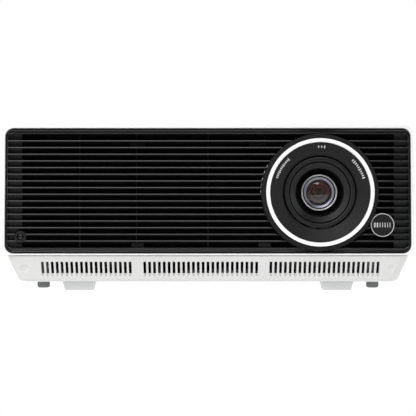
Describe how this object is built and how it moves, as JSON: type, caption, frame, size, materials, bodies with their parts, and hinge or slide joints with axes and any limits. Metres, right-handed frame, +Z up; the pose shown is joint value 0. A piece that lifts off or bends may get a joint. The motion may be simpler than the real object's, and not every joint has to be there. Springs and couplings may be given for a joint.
{
  "type": "home projector",
  "caption": "Compact home projector: white shell, black louvred front with an offset zoom lens, slotted lower tray, feet, cooling, light engine and rear sockets.",
  "frame": {"origin": "on the table, under the centre of the case's bounding box", "axes": "+X to the viewer's right when facing the lens side, +Y from the lens side to the rear sockets, +Z up"},
  "size_m": [0.3698, 0.29, 0.149],
  "materials": {
    "shell_white": "satin white moulded shell",
    "tray_grey": "fine-textured pale grey moulding",
    "leg_grey": "matt pale grey moulding",
    "foot_rubber": "matt dark grey rubber",
    "steel": "zinc-plated sheet steel",
    "grille_black": "glossy black moulding",
    "ring_black": "satin black moulding",
    "matte_black": "matt black moulding",
    "filter_foam": "black open-cell foam",
    "smoked_window": "dark infrared-clear plastic",
    "lens_cell_metal": "satin machined ring",
    "lens_glass": "coated optical glass",
    "aluminium": "cast and extruded aluminium",
    "copper_brown": "bare copper",
    "phosphor_yellow": "yellow phosphor coating on a disc",
    "board_green": "green circuit board with parts",
    "port_metal": "nickel-plated socket shell",
    "speaker_cone": "paper cone in a dark basket",
    "light_pipe": "milky clear light pipe"
  },
  "bodies": {
    "case": {"front_bezel": "shell_white", "upper_cover": "shell_white", "lower_case": "tray_grey", "rear_cover": "shell_white", "front_leg_left": "leg_grey", "front_leg_right": "leg_grey", "rear_leg_left": "leg_grey", "rear_leg_right": "leg_grey", "case_screw_1": "steel", "case_screw_2": "steel", "case_screw_3": "steel", "case_screw_4": "steel", "front_grille": "grille_black", "ir_receiver_bezel": "ring_black", "ir_receiver_window": "smoked_window", "grille_emblem": "ring_black", "lens_surround": "matte_black", "lens_trim_ring": "shell_white", "lens_dish": "matte_black", "lens_barrel": "matte_black", "rear_lens_glass": "lens_glass", "dust_filter": "filter_foam", "base_plate": "steel", "light_engine_housing": "aluminium", "dmd_heat_sink": "aluminium", "laser_module": "matte_black", "heat_pipes": "copper_brown", "laser_heat_sink": "aluminium", "wheel_motor": "matte_black", "intake_fan_frame": "matte_black", "exhaust_fan_frame": "matte_black", "power_supply_board": "board_green", "main_board": "board_green", "port_panel": "matte_black", "hdmi_port_1": "port_metal", "hdmi_port_2": "port_metal", "usb_port": "port_metal", "network_port": "port_metal", "audio_jack": "matte_black", "mains_inlet": "matte_black", "speaker_left": "speaker_cone", "speaker_right": "speaker_cone", "joystick_bezel": "ring_black", "status_light": "light_pipe"},
    "focus_ring": {"focus_ring": "ring_black"},
    "front_lens": {"front_lens_cell": "lens_cell_metal", "front_lens_glass": "lens_glass"},
    "zoom_ring": {"zoom_ring": "ring_black"},
    "zoom_lens": {"zoom_lens_cell": "matte_black", "zoom_lens_glass": "lens_glass"},
    "phosphor_wheel": {"phosphor_wheel": "phosphor_yellow"},
    "intake_fan_rotor": {"intake_fan_rotor": "ring_black"},
    "exhaust_fan_rotor": {"exhaust_fan_rotor": "ring_black"},
    "front_foot_left": {"front_foot_left": "foot_rubber", "front_foot_stud_left": "steel"},
    "front_foot_right": {"front_foot_right": "foot_rubber", "front_foot_stud_right": "steel"},
    "joystick_gimbal": {"joystick_gimbal": "steel"},
    "joystick_rocker": {"joystick_rocker": "steel"},
    "joystick_cap": {"joystick_cap": "shell_white"}
  },
  "joints": [
    {"name": "focus_turn", "type": "hinge", "parent": "case", "child": "focus_ring", "pos_m": [0.1005, -0.128, 0.0885], "axis": [0, -1, 0], "range_deg": [-45, 45]},
    {"name": "front_lens_travel", "type": "slide", "parent": "case", "child": "front_lens", "axis": [0, -1, 0], "range_m": [-0.0016, 0.0016]},
    {"name": "zoom_turn", "type": "hinge", "parent": "case", "child": "zoom_ring", "pos_m": [0.1005, -0.122, 0.0885], "axis": [0, -1, 0], "range_deg": [-30, 30]},
    {"name": "zoom_lens_travel", "type": "slide", "parent": "case", "child": "zoom_lens", "axis": [0, -1, 0], "range_m": [-0.004, 0.004]},
    {"name": "phosphor_wheel_spin", "type": "hinge", "parent": "case", "child": "phosphor_wheel", "pos_m": [0.006, 0.03, 0.08], "axis": [1, 0, 0], "continuous": true},
    {"name": "intake_fan_spin", "type": "hinge", "parent": "case", "child": "intake_fan_rotor", "pos_m": [-0.095, -0.1, 0.088], "axis": [0, 1, 0], "continuous": true},
    {"name": "exhaust_fan_spin", "type": "hinge", "parent": "case", "child": "exhaust_fan_rotor", "pos_m": [-0.1605, 0.04, 0.088], "axis": [-1, 0, 0], "continuous": true},
    {"name": "front_foot_left_travel", "type": "slide", "parent": "case", "child": "front_foot_left", "axis": [0, 0, -1], "range_m": [0, 0.018]},
    {"name": "front_foot_right_travel", "type": "slide", "parent": "case", "child": "front_foot_right", "axis": [0, 0, -1], "range_m": [0, 0.018]},
    {"name": "joystick_side_tilt", "type": "hinge", "parent": "case", "child": "joystick_gimbal", "pos_m": [0.128, 0.104, 0.135], "axis": [0, 1, 0], "range_deg": [-4.5, 4.5], "stiffness_Nm_per_rad": 0.2},
    {"name": "joystick_fore_tilt", "type": "hinge", "parent": "joystick_gimbal", "child": "joystick_rocker", "pos_m": [0.128, 0.104, 0.135], "axis": [1, 0, 0], "range_deg": [-4.5, 4.5], "stiffness_Nm_per_rad": 0.2},
    {"name": "joystick_press", "type": "slide", "parent": "joystick_rocker", "child": "joystick_cap", "axis": [0, 0, -1], "range_m": [0, 0.001], "stiffness_N_per_m": 500}
  ],
  "couplings": [
    {"joint": "focus_turn", "follows": "front_lens_travel", "rad_per_m": 490},
    {"joint": "zoom_turn", "follows": "zoom_lens_travel", "rad_per_m": 130.8}
  ]
}
